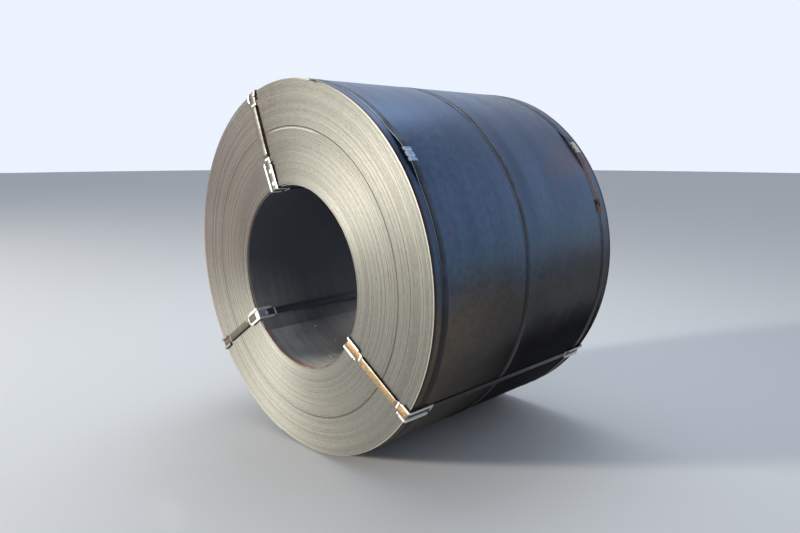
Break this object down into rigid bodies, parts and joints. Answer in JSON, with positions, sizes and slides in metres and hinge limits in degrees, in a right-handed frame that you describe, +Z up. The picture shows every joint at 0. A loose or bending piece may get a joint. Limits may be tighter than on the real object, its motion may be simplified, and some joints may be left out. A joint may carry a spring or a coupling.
{
  "type": "steel coil",
  "caption": "Hot-rolled steel coil lying on its side, banded around its girth and through its eye, with bent guards at the edges.",
  "frame": {"origin": "on the floor, under the middle of the coil", "axes": "+Z up, the coil's axis along Y, the front end faces -Y, and +X is to the right as seen from the front"},
  "size_m": [1.5524, 1.2218, 1.5523],
  "materials": {
    "coil_steel": "blue-black mill scale outside, bare sheared edges on the ends",
    "girth_strapping": "dark blued steel strapping, satin",
    "eye_strapping": "tan steel strapping with orange rust",
    "bright_seal": "bright galvanised sheet",
    "rusty_seal": "rusted steel sheet",
    "guard_steel": "bright galvanised sheet"
  },
  "bodies": {
    "root": {"coil": "coil_steel", "girth_strap_front": "girth_strapping", "girth_strap_middle": "girth_strapping", "girth_strap_rear": "girth_strapping", "girth_seal_front": "bright_seal", "girth_seal_rear": "bright_seal", "eye_seal_upper": "bright_seal", "eye_seal_left": "bright_seal", "eye_seal_right": "bright_seal", "girth_seal_rear_old": "rusty_seal", "eye_strap_upper": "eye_strapping", "eye_strap_left": "eye_strapping", "eye_strap_right": "eye_strapping", "guard_upper_front_outer": "guard_steel", "guard_upper_front_inner": "guard_steel", "guard_upper_rear_outer": "guard_steel", "guard_upper_rear_inner": "guard_steel", "guard_left_front_outer": "guard_steel", "guard_left_front_inner": "guard_steel", "guard_left_rear_outer": "guard_steel", "guard_left_rear_inner": "guard_steel", "guard_right_front_outer": "guard_steel", "guard_right_front_inner": "guard_steel", "guard_right_rear_outer": "guard_steel", "guard_right_rear_inner": "guard_steel"}
  },
  "joints": []
}
